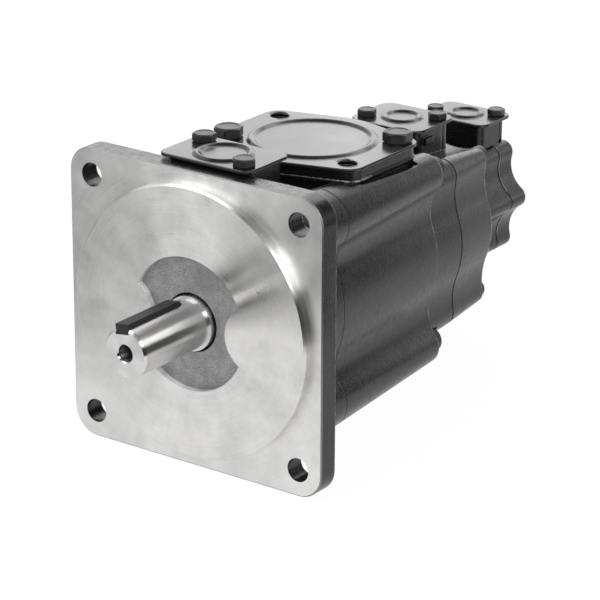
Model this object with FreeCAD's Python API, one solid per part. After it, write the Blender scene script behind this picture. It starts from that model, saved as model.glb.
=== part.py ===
import FreeCAD, Part
import math
import os

# Hydraulic vane pump with three cartridges in line on one shaft.
# Millimetres. X right, Z up, Y back along the shaft. The origin is where the
# shaft axis meets the face of the mounting flange, and the shaft points to -Y.

Vec = FreeCAD.Vector

# Mounting flange and pilot. The bolt circle and the flange follow the pilot.
pilot_r = 125.0
bolt_circle_margin = 32.5
flange_margin = 24.63
mount_spacing = math.sqrt(2) * (pilot_r + bolt_circle_margin)
flange_side = mount_spacing + 2 * flange_margin
flange_thick = 20.0
flange_corner = 24.0
flange_chamfer = 1.2
flange_root_r = 5.0
mount_hole_r = 11.0
pilot_height = 9.2
pilot_chamfer = 2.0
recess_r = 61.0
recess_depth = 6.0
recess_boss_offset = 71.0
recess_boss_r = 31.0

# Lengths of the castings, and the planes where they part, measured back from the flange face
cap_back = 88.0
inlet_length = 162.0
ring_length = 46.0
middle_length = 60.0
rear_length = 74.0
end_length = 27.0
inlet_back = cap_back + inlet_length
ring_back = inlet_back + ring_length
middle_back = ring_back + middle_length
rear_back = middle_back + rear_length
end_back = rear_back + end_length

# Outline of the front castings at the back of the inlet housing
main_belly_r = 87.5
main_lobe_x = 72.5
main_lobe_z = 83.0
main_lobe_r = 18.5
main_valley_r = 40.0
main_draft = 0.06

# Outline of the centre ring and the middle housing at the plane between them
mid_belly_r = 84.0
mid_lobe_x = 60.0
mid_lobe_z = 66.0
mid_lobe_r = 16.0
mid_valley_r = 60.0
ring_draft = 0.05
mid_draft = 0.095

# Outline of the rear housing and the end cap
rear_side_lobe_x = 44.0
rear_lobe_x = 28.0
rear_lobe_z = 43.0
rear_lobe_r = 10.5
rear_valley_r = 29.0
end_edge = 3.0
end_edge_inset = 2.5

# Front outlet, closed by its cover
front_port_y = 43.9
front_port_top = flange_side / 2 + 2.4
front_port_bore_r = 19.0
front_port_floor = 60.0
front_boss_x = 44.0
front_boss_back = 27.0
front_boss_corner = 8.0
front_cover_x = 49.0
front_cover_y = 31.2
front_cover_corner = 9.0
front_ring_r = 26.0
front_ring_wall = 5.0
front_bolts_x = 69.85
front_bolts_y = 35.71
front_bolt_r = 6.0
front_bolt_across = 19.0
front_bolt_head = 7.5

# Suction port, closed by its cover
inlet_port_margin = 2.7
inlet_cover_r = 72.0
inlet_port_y = inlet_back - inlet_cover_r - inlet_port_margin
inlet_port_top = 117.4
inlet_slab_thick = 11.0
inlet_slab_edge = 2.5
inlet_neck_inset = 6.5
inlet_gap_out = 2.0
inlet_gap_floor = 100.0
inlet_gap_back = 46.0
inlet_port_bore_r = 51.0
inlet_cover_corner = 17.0
inlet_boss_inset = 2.5
inlet_disc_r = 52.0
inlet_bead_r = 58.0
inlet_bolts_x = 130.18
inlet_bolts_y = 77.77
inlet_bolt_r = 8.0
inlet_bolt_across = 24.0
inlet_bolt_head = 10.0
inlet_open_hole_r = 9.0

# Middle outlet
middle_port_set_back = 22.4
middle_port_y = ring_back + middle_port_set_back
middle_port_top = 102.3
middle_port_bore_r = 16.0
middle_port_floor = 36.0
middle_boss_x = 35.0
middle_boss_y = 29.0
middle_boss_corner = 10.0
middle_boss_under = 87.0
middle_lug_front = 17.0
middle_lug_length = 13.0
middle_lug_out = 3.5
middle_lug_top = 95.0
middle_lug_height = 6.5
middle_cover_x = 40.0
middle_cover_y = 33.0
middle_cover_corner = 13.0
middle_ring_r = 19.0
middle_ring_wall = 5.0
middle_bolts_x = 58.72
middle_bolts_y = 30.18
middle_bolt_r = 5.0
middle_bolt_across = 16.0
middle_bolt_head = 6.4

# Rear outlet
rear_port_set_forward = 1.4
rear_port_y = rear_back - rear_port_set_forward
rear_port_top = 78.5
rear_port_bore_r = 12.5
rear_port_floor = 58.0
rear_boss_x = 31.0
rear_boss_y = 22.5
rear_boss_corner = 8.0
rear_boss_under = 54.0
rear_cover_x = 37.0
rear_cover_y = 26.0
rear_cover_corner = 10.0
rear_ring_r = 17.0
rear_ring_wall = 4.5
rear_bolts_x = 52.37
rear_bolts_y = 26.19
rear_bolt_r = 5.0
rear_bolt_across = 15.0
rear_bolt_head = 6.4

# What the four covers and their bolts share
cover_thick = 3.0
cover_ring_rise = 2.4
cover_hole_clear = 0.5
cover_bolt_length = 24.0
thread_clear = 0.05
tapped_depth = 30.0
tapped_share = 0.85
thread_runout = 2.0

# Body bolts, socket heads to the rear
housing_bolt_r = 8.0
housing_bolt_head_r = 12.0
housing_bolt_head = 16.0
housing_bolt_socket = 14.0
housing_bolt_reach = 40.0
housing_bolt_front = cap_back - housing_bolt_reach
head_room_r = 13.5
head_room = 17.0
middle_stud_x = 56.5
middle_stud_z = 66.5
middle_stud_r = 6.0
middle_stud_head_r = 9.0
middle_stud_head = 12.0
middle_stud_socket = 10.0
middle_stud_reach = 19.0
middle_stud_front = inlet_back - middle_stud_reach
end_screw_r = 4.0
end_screw_head_r = 6.5
end_screw_head = 8.0
end_screw_socket = 6.0
end_screw_sink = 1.5
end_screw_reach = 17.0
end_screw_front = middle_back - end_screw_reach
socket_depth_share = 0.5
bolt_hole_clear = 0.5

# Shaft steps, front to back
shaft_r = 22.5
shaft_front = -95.2
shaft_chamfer = 2.0
seal_land_r = 25.0
seal_land_front = -8.0
bearing_seat_r = 27.5
shoulder_r = 32.0
shoulder_width = 4.0
middle_shaft_r = 23.0
rear_shaft_r = 18.0
journal_r = 12.5
shaft_tail = 12.0
shaft_back = rear_back + shaft_tail
centre_hole_r = 7.6
centre_hole_depth = 36.0
centre_sink_r = 8.7

# Key and its turn from the top towards -X at rest
key_width = 14.0
key_height = 9.0
key_length = 70.0
key_rise = 3.5
key_back_gap = 1.0
key_turn = 8.0

# Shaft seal, front bearing, snap ring and bushes
shaft_hole_r = 27.0
seal_front = 8.0
seal_r = 36.0
seal_width = 12.0
seal_wall = 4.0
seal_gap = 2.0
bearing_r = 50.0
bearing_front = 24.0
bearing_width = 21.0
bearing_ring_wall = 6.5
bearing_lip = 1.6
bearing_lip_clear = 0.2
snap_width = 3.0
snap_r = 51.6
snap_wall = 5.6
snap_gap = 18.0
centre_bush_r = 24.0
centre_bush_length = 13.0
centre_bush_front = ring_back - centre_bush_length
rear_bush_r = 16.0
rear_bush_lead = 10.0
rear_bush_front = rear_back - rear_bush_lead
rear_bush_length = 24.0
bush_end_gap = 1.0

# Vane cartridges
vane_count = 10
vane_phase = 9.0
vane_clear = 0.02
vane_bevel_share = 0.33
side_clear = 0.1
tip_clear = 0.05
slot_floor_clear = 0.3
spline_teeth = 8
spline_clear = 0.05

front_rotor_r = 52.0
front_cam_major = 57.5
front_cam_minor = 52.5
front_cam_r = 74.0
front_cam_length = 58.0
front_vane_height = 16.0
front_vane_thick = 4.8
front_spline_root = 24.0
front_spline_tip = 28.0

middle_rotor_r = 42.0
middle_cam_major = 46.5
middle_cam_minor = 42.5
middle_cam_r = 62.0
middle_cam_length = 46.0
middle_vane_height = 13.0
middle_vane_thick = 4.0
middle_spline_root = 19.0
middle_spline_tip = 22.5

rear_rotor_r = 24.0
rear_cam_major = 27.0
rear_cam_minor = 24.5
rear_cam_r = 35.9
rear_cam_length = 36.0
rear_vane_height = 6.5
rear_vane_thick = 2.4
rear_spline_root = 12.5
rear_spline_tip = 15.5

# Port plates
side_plate_width = 12.0
plate_bore_clear = 3.0
plate_seat_clear = 0.05
front_plate_r = 66.0
front_plate_width = 16.0
front_hub_r = 50.0
front_hub_length = 38.0
front_hub_front = cap_back - front_hub_length
middle_plate_r = 54.0
middle_plate_width = 14.0
middle_hub_r = 30.0
middle_hub_short = 16.0
middle_hub_back = ring_back - middle_hub_short
rear_plate_width = 14.0
kidney_span = 44.0
kidney_turn = 45.0
kidney_inner_share = 0.86
rear_kidney_inner_share = 0.8

# Hollows in the castings
front_chamber_depth = 32.0
chamber_front = cap_back - front_chamber_depth
cavity_r = 76.0
middle_seat_depth = 24.0
cavity_back = inlet_back - middle_seat_depth
ring_wall = 22.0
chamber_back = ring_back - ring_wall
hub_bore_wall = 14.0
hub_bore_back = ring_back - hub_bore_wall
feed_z = 42.0
feed_r = 9.0
end_spigot = 18.0
end_feed_z = 25.5
end_feed_r = 7.0
end_riser_set_back = 6.0
end_riser_y = rear_back + end_riser_set_back
pocket_clear = 0.05
shaft_way_clear = 1.0


def rod(radius, start, end, x=0.0, z=0.0):
    """A cylinder along Y."""
    return Part.makeCylinder(radius, end - start, Vec(x, start, z), Vec(0, 1, 0))


def post(radius, low, high, x, y):
    """A cylinder along Z."""
    return Part.makeCylinder(radius, high - low, Vec(x, y, low), Vec(0, 0, 1))


def ring(outer, inner, start, end):
    """A plain ring round the shaft axis."""
    return rod(outer, start, end).cut(rod(inner, start, end))


def turned(profile):
    """A solid of revolution about the shaft axis from (radius, y) corners."""
    corners = [Vec(radius, y, 0) for radius, y in profile]
    face = Part.Face(Part.makePolygon(corners + corners[:1]))
    return face.revolve(Vec(0, 0, 0), Vec(0, 1, 0), 360)


def turn_about_shaft(shape, degrees):
    """A copy turned from +Z towards -X by the given angle."""
    copy = shape.copy()
    copy.rotate(Vec(0, 0, 0), Vec(0, 1, 0), -degrees)
    return copy


def unit(a, b):
    length = math.hypot(a, b)
    return a / length, b / length


def hull_wire(circles, place):
    """The closed outline round (a, b, radius) circles that are given anticlockwise."""
    edges = []
    tangents = []
    for index, (a, b, radius) in enumerate(circles):
        next_a, next_b, next_radius = circles[(index + 1) % len(circles)]
        along_a, along_b = unit(next_a - a, next_b - b)
        lean = (radius - next_radius) / math.hypot(next_a - a, next_b - b)
        side = math.sqrt(1 - lean * lean)
        normal = (lean * along_a + side * along_b, lean * along_b - side * along_a)
        leave = (a + radius * normal[0], b + radius * normal[1])
        arrive = (next_a + next_radius * normal[0], next_b + next_radius * normal[1])
        tangents.append((leave, arrive))
    for index, (a, b, radius) in enumerate(circles):
        arrive = tangents[index - 1][1]
        leave, next_arrive = tangents[index]
        edges.append(arc_edge(a, b, radius, arrive, leave, place))
        edges.append(Part.LineSegment(place(*leave), place(*next_arrive)).toShape())
    return Part.Wire(edges)


def arc_edge(a, b, radius, start, end, place):
    """The arc that runs anticlockwise from start to end on a circle."""
    first = math.atan2(start[1] - b, start[0] - a)
    sweep = (math.atan2(end[1] - b, end[0] - a) - first) % (2 * math.pi)
    middle = first + sweep / 2
    through = (a + radius * math.cos(middle), b + radius * math.sin(middle))
    return Part.Arc(place(*start), place(*through), place(*end)).toShape()


def lobed_wire(plain_circles, plain_valley, grow, y):
    """An outline across the shaft: round lobes joined by hollow arcs, all let out by grow."""
    circles = [(a, b, radius + grow) for a, b, radius in plain_circles]
    valley = plain_valley - grow

    def place(a, b):
        return Vec(a, y, b)

    valleys = []
    for index, (a, b, radius) in enumerate(circles):
        next_a, next_b, next_radius = circles[(index + 1) % len(circles)]
        gap = math.hypot(next_a - a, next_b - b)
        along_a, along_b = unit(next_a - a, next_b - b)
        reach = radius + valley
        next_reach = next_radius + valley
        along = (reach ** 2 - next_reach ** 2 + gap ** 2) / (2 * gap)
        out = math.sqrt(reach ** 2 - along ** 2)
        valleys.append((a + along * along_a + out * along_b, b + along * along_b - out * along_a))

    def touch(circle, centre):
        step_a, step_b = unit(centre[0] - circle[0], centre[1] - circle[1])
        return circle[0] + circle[2] * step_a, circle[1] + circle[2] * step_b

    edges = []
    for index, circle in enumerate(circles):
        before = touch(circle, valleys[index - 1])
        after = touch(circle, valleys[index])
        following = touch(circles[(index + 1) % len(circles)], valleys[index])
        edges.append(arc_edge(*circle, before, after, place))
        centre = valleys[index]
        step_a, step_b = unit(
            after[0] + following[0] - 2 * centre[0], after[1] + following[1] - 2 * centre[1]
        )
        through = (centre[0] + valley * step_a, centre[1] + valley * step_b)
        edges.append(Part.Arc(place(*after), place(*through), place(*following)).toShape())
    return Part.Wire(edges)


def tapered(wire_at, sections):
    """A drafted solid through outlines, given as (y, grow) pairs from front to back."""
    wires = [wire_at(y, grow) for y, grow in sections]
    return Part.makeLoft(wires, True, True)


def corner_circles(half_a, half_b, radius, centre_b=0.0):
    """Corner circles of a rectangle with rounded corners, anticlockwise."""
    a = half_a - radius
    b = half_b - radius
    return [
        (a, centre_b - b, radius),
        (a, centre_b + b, radius),
        (-a, centre_b + b, radius),
        (-a, centre_b - b, radius),
    ]


def upright(circles, low, high):
    """A prism along Z whose outline is the hull of circles in X and Y."""
    wire = hull_wire(circles, lambda a, b: Vec(a, b, low))
    return Part.Face(wire).extrude(Vec(0, 0, high - low))


def across(circles, start, end):
    """A prism along Y whose outline is the hull of circles in X and Z."""
    wire = hull_wire(circles, lambda a, b: Vec(a, start, b))
    return Part.Face(wire).extrude(Vec(0, end - start, 0))


def hexagon(across_flats, height, base, direction):
    """A hexagonal bolt head."""
    corner = across_flats / math.sqrt(3)
    side = Vec(0, 0, 1) if abs(direction.y) > 0 else Vec(0, 1, 0)
    points = []
    for step in range(6):
        turn = FreeCAD.Rotation(direction, 60 * step)
        points.append(base + turn.multVec(side) * corner)
    return Part.Face(Part.makePolygon(points + points[:1])).extrude(direction * height)


def hex_bolt(radius, across_flats, head, seat, direction, length):
    """A bolt with its head on seat, pointing out along direction, and its shank behind."""
    shank = Part.makeCylinder(radius, length, seat, direction * -1)
    return hexagon(across_flats, head, seat, direction).fuse(shank).removeSplitter()


def socket_screw(radius, head_r, head, socket, seat, front, x, z):
    """A socket-head screw along Y, its head behind the seat and its point at front."""
    screw = rod(radius, front, seat, x, z).fuse(rod(head_r, seat, seat + head, x, z))
    depth = head * socket_depth_share
    key_way = hexagon(socket, depth, Vec(x, seat + head - depth, z), Vec(0, 1, 0))
    return screw.cut(key_way)


def quarters(x, z):
    return [(x, z), (-x, z), (-x, -z), (x, -z)]


def main_wire(y, grow):
    belly = (0.0, 0.0, main_belly_r)
    circles = []
    for x, z in quarters(main_lobe_x, main_lobe_z):
        circles += [(x, z, main_lobe_r), belly]
    return lobed_wire(circles, main_valley_r, grow, y)


def mid_wire(y, grow):
    belly = (0.0, 0.0, mid_belly_r)
    circles = []
    for x, z in quarters(mid_lobe_x, mid_lobe_z):
        circles += [(x, z, mid_lobe_r), belly]
    return lobed_wire(circles, mid_valley_r, grow, y)


def rear_lobes():
    corners = quarters(rear_lobe_x, rear_lobe_z)
    sides = [(rear_side_lobe_x, 0.0), (-rear_side_lobe_x, 0.0)]
    return [sides[0], corners[0], corners[1], sides[1], corners[2], corners[3]]


def rear_wire(y, grow):
    circles = [(x, z, rear_lobe_r) for x, z in rear_lobes()]
    return lobed_wire(circles, rear_valley_r, grow, y)


def main_grow(y):
    return main_draft * (inlet_back - y)


def mid_grow(y):
    return (ring_draft if y < ring_back else mid_draft) * (ring_back - y)


def diagonal(spacing_x, spacing_y, centre_y, sign):
    """Two opposite corners of a port's bolt pattern. Sign +1 starts at the back left."""
    x = spacing_x / 2
    y = spacing_y / 2
    return [(-x, centre_y + sign * y), (x, centre_y - sign * y)]


def bolt_wells(centres, top, radius):
    """Tapped holes down from a port face."""
    wells = [post(radius, top - tapped_depth, top, x, y) for x, y in centres]
    return Part.Compound(wells)


def kidneys(inner, outer, start, end):
    """Two arc-shaped ports on opposite sides of a port plate."""
    corners = [Vec(0, start, inner), Vec(0, end, inner), Vec(0, end, outer), Vec(0, start, outer)]
    face = Part.Face(Part.makePolygon(corners + corners[:1]))
    slot = face.revolve(Vec(0, 0, 0), Vec(0, 1, 0), kidney_span)
    first = turn_about_shaft(slot, kidney_span / 2 - kidney_turn)
    return [first, turn_about_shaft(first, 180)]


def splined(root, tip, start, end, grow):
    """A straight-sided spline, made bigger all round by grow for the hole that it fits."""
    width = math.pi * root / spline_teeth + 2 * grow
    shape = rod(root + grow, start, end)
    for tooth in range(spline_teeth):
        bar = Part.makeBox(width, end - start, tip + grow, Vec(-width / 2, start, 0))
        shape = shape.fuse(turn_about_shaft(bar, 360 / spline_teeth * tooth))
    return shape.removeSplitter()


def vane_angles():
    return [vane_phase + 360 / vane_count * index for index in range(vane_count)]


def rotor(radius, start, end, vane_height, vane_thick, root, tip):
    """A slotted rotor on its spline."""
    floor = radius - tip_clear - vane_height - slot_floor_clear
    width = vane_thick + 2 * vane_clear
    shape = rod(radius, start, end)
    shape = shape.cut(splined(root, tip, start, end, spline_clear))
    slot = Part.makeBox(width, end - start, radius, Vec(-width / 2, start, floor))
    slots = [turn_about_shaft(slot, angle) for angle in vane_angles()]
    return shape.cut(Part.Compound(slots))


def vane(radius, start, end, height, thick, angle):
    """One vane drawn in, with a bevelled tip."""
    tip = radius - tip_clear
    bevel = thick * vane_bevel_share
    half = thick / 2
    outline = [(-half, tip - height), (half, tip - height), (half, tip - bevel)]
    outline += [(half - bevel, tip), (bevel - half, tip), (-half, tip - bevel)]
    corners = [Vec(x, start, z) for x, z in outline]
    blade = Part.Face(Part.makePolygon(corners + corners[:1])).extrude(Vec(0, end - start, 0))
    return turn_about_shaft(blade, angle)


def cam_ring(outer, major, minor, start, end):
    """A ring whose track has two lobes, the long axis along X."""
    track = Part.Ellipse(Vec(0, 0, 0), major, minor).toShape()
    track.rotate(Vec(0, 0, 0), Vec(1, 0, 0), 90)
    track.translate(Vec(0, start, 0))
    hollow = Part.Face(Part.Wire(track)).extrude(Vec(0, end - start, 0))
    return rod(outer, start, end).cut(hollow)


def side_plate(radius, bore, start, end, track):
    """The plate on a cartridge's suction side."""
    plate = ring(radius, bore, start, end)
    for slot in kidneys(track * kidney_inner_share, track, start, end):
        plate = plate.cut(turn_about_shaft(slot, 90))
    return plate


def plate_with_hub(profile, start, end, track):
    """The pressure plate, with a hub that seals its chamber from the shaft."""
    plate = turned(profile)
    for slot in kidneys(track * kidney_inner_share, track, start, end):
        plate = plate.cut(slot)
    return plate


def ring_cover(outline, top, centre_y, outer, wall):
    """A closing plate with a raised round rib over the port."""
    plate = upright(outline, top, top + cover_thick)
    rib = post(outer, top + cover_thick, top + cover_thick + cover_ring_rise, 0, centre_y)
    dish = post(outer - wall, top + cover_thick, top + cover_thick + cover_ring_rise, 0, centre_y)
    return plate.fuse(rib.cut(dish)).removeSplitter()


def drilled(plate, centres, radius, top):
    """A cover with holes at the given places."""
    holes = [post(radius, top, top + cover_thick, x, y) for x, y in centres]
    return plate.cut(Part.Compound(holes))


def flange_root():
    """Sections of the rounded root where the casting leaves the flange."""
    sections = []
    for step in range(4):
        angle = math.pi / 2 * step / 3
        y = flange_thick + flange_root_r * (1 - math.cos(angle))
        sections.append((y, main_grow(y) + flange_root_r * (1 - math.sin(angle))))
    return sections


def make_mounting_cap():
    half = flange_side / 2
    flat = across(corner_circles(half, half, flange_corner), flange_chamfer, flange_thick)
    inner = half - flange_chamfer
    face = hull_wire(
        corner_circles(inner, inner, flange_corner - flange_chamfer), lambda a, b: Vec(a, 0, b)
    )
    back = hull_wire(corner_circles(half, half, flange_corner), lambda a, b: Vec(a, flange_chamfer, b))
    bevel = Part.makeLoft([face, back], True, True)
    pilot = turned([
        (0, 0), (pilot_r, 0), (pilot_r, pilot_chamfer - pilot_height),
        (pilot_r - pilot_chamfer, -pilot_height), (0, -pilot_height),
    ])
    casting = tapered(main_wire, flange_root() + [(cap_back, main_grow(cap_back))])
    depth = front_boss_back + front_port_y - flange_thick
    boss_middle = flange_thick + depth / 2
    boss = upright(
        corner_circles(front_boss_x, depth / 2, front_boss_corner, boss_middle), 0, front_port_top
    )
    root = Part.makeBox(
        2 * front_boss_x, depth / 2, front_port_top, Vec(-front_boss_x, flange_thick, 0)
    ).common(across(corner_circles(half, half, flange_corner), flange_thick, boss_middle))
    cap = flat.fuse([bevel, pilot, casting, boss, root]).removeSplitter()
    recess = rod(recess_r, -pilot_height, recess_depth - pilot_height)
    for side in (-1, 1):
        recess = recess.cut(
            rod(recess_boss_r, -pilot_height, recess_depth - pilot_height, side * recess_boss_offset)
        )
    spacing = mount_spacing / 2
    holes = [rod(mount_hole_r, 0, flange_thick, x, z) for x, z in quarters(spacing, spacing)]
    hollows = turned([
        (0, -pilot_height), (shaft_hole_r, -pilot_height), (shaft_hole_r, seal_front),
        (seal_r, seal_front), (seal_r, seal_front + seal_width),
        (bearing_r - bearing_ring_wall, seal_front + seal_width),
        (bearing_r - bearing_ring_wall, bearing_front), (bearing_r, bearing_front),
        (bearing_r, chamber_front), (front_plate_r, chamber_front), (front_plate_r, cap_back),
        (0, cap_back),
    ])
    snap_start = bearing_front + bearing_width
    groove = ring(snap_r + pocket_clear, shaft_hole_r, snap_start, snap_start + snap_width + pocket_clear)
    port = post(front_port_bore_r, front_port_floor, front_port_top, 0, front_port_y)
    bolts = [
        rod(housing_bolt_r + thread_clear, housing_bolt_front - thread_runout, cap_back, x, z)
        for x, z in quarters(main_lobe_x, main_lobe_z)
    ]
    wells = bolt_wells(
        diagonal(front_bolts_x, front_bolts_y, front_port_y, 1), front_port_top,
        front_bolt_r + thread_clear,
    )
    return cap.cut([recess, hollows, groove, port, wells] + holes + bolts)


def inlet_outline(inset):
    corner = inlet_cover_corner - inset
    x = inlet_bolts_x / 2
    y = inlet_bolts_y / 2
    middle = (0.0, inlet_port_y, inlet_cover_r - inset)
    return [
        (x, inlet_port_y - y, corner), (x, inlet_port_y + y, corner), middle,
        (-x, inlet_port_y + y, corner), (-x, inlet_port_y - y, corner), middle,
    ]


def make_inlet_housing():
    sections = [(cap_back, main_grow(cap_back)), (inlet_back, main_grow(inlet_back))]
    casting = tapered(main_wire, sections)
    slab_under = inlet_port_top - inlet_slab_thick
    gap = upright(inlet_outline(-inlet_gap_out), inlet_gap_floor, inlet_port_top)
    rear = Part.makeBox(
        4 * inlet_cover_r, inlet_length, inlet_port_top,
        Vec(-2 * inlet_cover_r, inlet_port_y + inlet_gap_back, 0),
    )
    neck = upright(inlet_outline(inlet_neck_inset), 0, slab_under)
    bevel = Part.makeLoft([
        hull_wire(inlet_outline(inset), lambda a, b, z=z: Vec(a, b, z)) for inset, z in (
            (inlet_boss_inset + inlet_slab_edge, slab_under),
            (inlet_boss_inset, slab_under + inlet_slab_edge),
        )
    ], True, True)
    slab = upright(inlet_outline(inlet_boss_inset), slab_under + inlet_slab_edge, inlet_port_top)
    heel = upright(inlet_outline(inlet_boss_inset), main_lobe_z, slab_under + inlet_slab_edge)
    housing = casting.cut(gap.cut(rear)).fuse([neck, heel.common(rear), bevel, slab]).removeSplitter()
    cavity = rod(cavity_r, cap_back, cavity_back)
    seat = rod(middle_cam_r + plate_seat_clear, cavity_back, inlet_back)
    port = post(inlet_port_bore_r, 0, inlet_port_top, 0, inlet_port_y)
    long_holes = [
        rod(housing_bolt_r + bolt_hole_clear, cap_back, inlet_back, x, z)
        for x, z in quarters(main_lobe_x, main_lobe_z)
    ]
    threads = [
        rod(middle_stud_r + thread_clear, middle_stud_front - thread_runout, inlet_back, x, z)
        for x, z in quarters(middle_stud_x, middle_stud_z)
    ]
    wells = bolt_wells(
        diagonal(inlet_bolts_x, inlet_bolts_y, inlet_port_y, -1), inlet_port_top,
        inlet_bolt_r + thread_clear,
    )
    open_wells = bolt_wells(
        diagonal(inlet_bolts_x, inlet_bolts_y, inlet_port_y, 1), inlet_port_top,
        inlet_bolt_r * tapped_share,
    )
    return housing.cut([cavity, seat, port, wells, open_wells] + long_holes + threads)


def make_centre_ring():
    casting = tapered(mid_wire, [(inlet_back, mid_grow(inlet_back)), (ring_back, 0.0)])
    room = [
        rod(head_room_r, inlet_back, inlet_back + head_room, x, z)
        for x, z in quarters(main_lobe_x, main_lobe_z)
    ]
    bore = turned([
        (0, inlet_back), (middle_plate_r, inlet_back), (middle_plate_r, chamber_back),
        (middle_hub_r, chamber_back), (middle_hub_r, hub_bore_back),
        (centre_bush_r, hub_bore_back), (centre_bush_r, ring_back), (0, ring_back),
    ])
    studs = [
        rod(middle_stud_r + bolt_hole_clear, inlet_back, ring_back, x, z)
        for x, z in quarters(middle_stud_x, middle_stud_z)
    ]
    feed = rod(feed_r, chamber_back, ring_back, 0, feed_z)
    return casting.cut([bore, feed] + room + studs)


def make_middle_housing():
    casting = tapered(mid_wire, [(ring_back, 0.0), (middle_back, mid_grow(middle_back))])
    outline = corner_circles(middle_boss_x, middle_boss_y, middle_boss_corner, middle_port_y)
    neck = upright(outline, 0, middle_boss_under)
    reach = Part.makeBox(4 * mid_belly_r, middle_back - ring_back, middle_port_top,
                         Vec(-2 * mid_belly_r, ring_back, 0))
    boss = upright(outline, middle_boss_under, middle_port_top)
    lug = Part.makeBox(
        middle_boss_corner + middle_lug_out, middle_lug_length, middle_lug_height,
        Vec(middle_boss_x - middle_boss_corner, middle_port_y - middle_lug_front,
            middle_lug_top - middle_lug_height),
    )
    housing = casting.fuse([neck.common(reach), boss, lug]).removeSplitter()
    port = post(middle_port_bore_r, middle_port_floor, middle_port_top, 0, middle_port_y)
    feed = rod(feed_r, ring_back, middle_port_y, 0, feed_z)
    way = rod(rear_shaft_r + shaft_way_clear, ring_back, middle_back)
    studs = [
        rod(middle_stud_r + bolt_hole_clear, ring_back, middle_back, x, z)
        for x, z in quarters(middle_stud_x, middle_stud_z)
    ]
    threads = [
        rod(end_screw_r + thread_clear, end_screw_front - thread_runout, middle_back, x, z)
        for x, z in rear_lobes()
    ]
    wells = bolt_wells(
        diagonal(middle_bolts_x, middle_bolts_y, middle_port_y, -1), middle_port_top,
        middle_bolt_r + thread_clear,
    )
    return housing.cut([port, feed, way, wells] + studs + threads)


def make_rear_housing():
    casting = tapered(rear_wire, [(middle_back, 0.0), (rear_back, 0.0)])
    bore = rod(rear_cam_r + plate_seat_clear, middle_back, rear_back)
    screws = [
        rod(end_screw_r + bolt_hole_clear, middle_back, rear_back, x, z) for x, z in rear_lobes()
    ]
    return casting.cut([bore] + screws)


def make_end_cap():
    sections = [(rear_back, 0.0), (end_back - end_edge, 0.0), (end_back, -end_edge_inset)]
    casting = tapered(rear_wire, sections)
    spigot = rod(rear_cam_r, rear_back - end_spigot, rear_back)
    outline = corner_circles(rear_boss_x, rear_boss_y, rear_boss_corner, rear_port_y)
    boss = upright(outline, rear_boss_under, rear_port_top)
    reach = Part.makeBox(2 * rear_boss_x, end_back - rear_back, rear_boss_under,
                         Vec(-rear_boss_x, rear_back, 0))
    neck = upright(outline, 0, rear_boss_under).common(reach)
    cap = casting.fuse([spigot, boss, neck]).removeSplitter()
    bush = rod(rear_bush_r, rear_back - end_spigot, rear_bush_front + rear_bush_length + bush_end_gap)
    port = post(rear_port_bore_r, rear_port_floor, rear_port_top, 0, rear_port_y)
    riser = post(end_feed_r, end_feed_z, rear_port_floor, 0, end_riser_y)
    feed = rod(end_feed_r, rear_back - end_spigot, end_riser_y, 0, end_feed_z)
    holes = []
    for x, z in rear_lobes():
        holes.append(rod(end_screw_r + bolt_hole_clear, rear_back, end_back, x, z))
        seat = end_back - end_screw_sink - end_screw_head
        holes.append(rod(end_screw_head_r + bolt_hole_clear, seat, end_back, x, z))
    wells = [
        post(rear_bolt_r + thread_clear, rear_boss_under, rear_port_top, x, y)
        for x, y in diagonal(rear_bolts_x, rear_bolts_y, rear_port_y, -1)
    ]
    return cap.cut([bush, port, riser, feed] + holes + wells)


def make_shaft():
    key_back = shaft_front + key_back_gap + key_length
    steps = [
        (0, shaft_front), (shaft_r - shaft_chamfer, shaft_front), (shaft_r, shaft_front + shaft_chamfer),
        (shaft_r, seal_land_front), (seal_land_r, seal_land_front),
        (seal_land_r, seal_front + seal_width + seal_gap),
        (bearing_seat_r, seal_front + seal_width + seal_gap),
        (bearing_seat_r, bearing_front + bearing_width), (shoulder_r, bearing_front + bearing_width),
        (shoulder_r, bearing_front + bearing_width + shoulder_width),
        (front_spline_tip, bearing_front + bearing_width + shoulder_width),
        (front_spline_tip, cap_back), (middle_shaft_r, cap_back),
        (middle_shaft_r, inlet_back - middle_cam_length), (rear_shaft_r, inlet_back - middle_cam_length),
        (rear_shaft_r, middle_back), (journal_r, middle_back), (journal_r, shaft_back), (0, shaft_back),
    ]
    shaft = turned(steps)
    front = splined(front_spline_root, front_spline_tip, cap_back, cap_back + front_cam_length, 0)
    middle_start = inlet_back - middle_cam_length
    middle = splined(middle_spline_root, middle_spline_tip, middle_start, inlet_back, 0)
    rear_end = middle_back + rear_cam_length
    rear = splined(rear_spline_root, rear_spline_tip, middle_back, rear_end, 0)
    shaft = shaft.fuse([front, middle, rear]).removeSplitter()
    slot = key_block(key_height, 0.0)
    tail = post(key_width / 2, shaft_r + key_rise - key_height, shaft_r + key_rise, 0, key_back)
    slot = turn_about_shaft(slot.fuse(tail), key_turn)
    sink_depth = centre_sink_r - centre_hole_r
    hole = turned([
        (0, shaft_front), (centre_sink_r, shaft_front), (centre_hole_r, shaft_front + sink_depth),
        (centre_hole_r, shaft_front + centre_hole_depth), (0, shaft_front + centre_hole_depth),
    ])
    return shaft.cut([slot, hole])


def key_block(height, gap):
    """The square-ended bar of the key, from just behind the shaft's front end."""
    low = shaft_r + key_rise - key_height
    return Part.makeBox(
        key_width, key_length + key_back_gap - gap, height,
        Vec(-key_width / 2, shaft_front + gap, low),
    )


def make_key():
    return turn_about_shaft(key_block(key_height, key_back_gap), key_turn)


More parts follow.
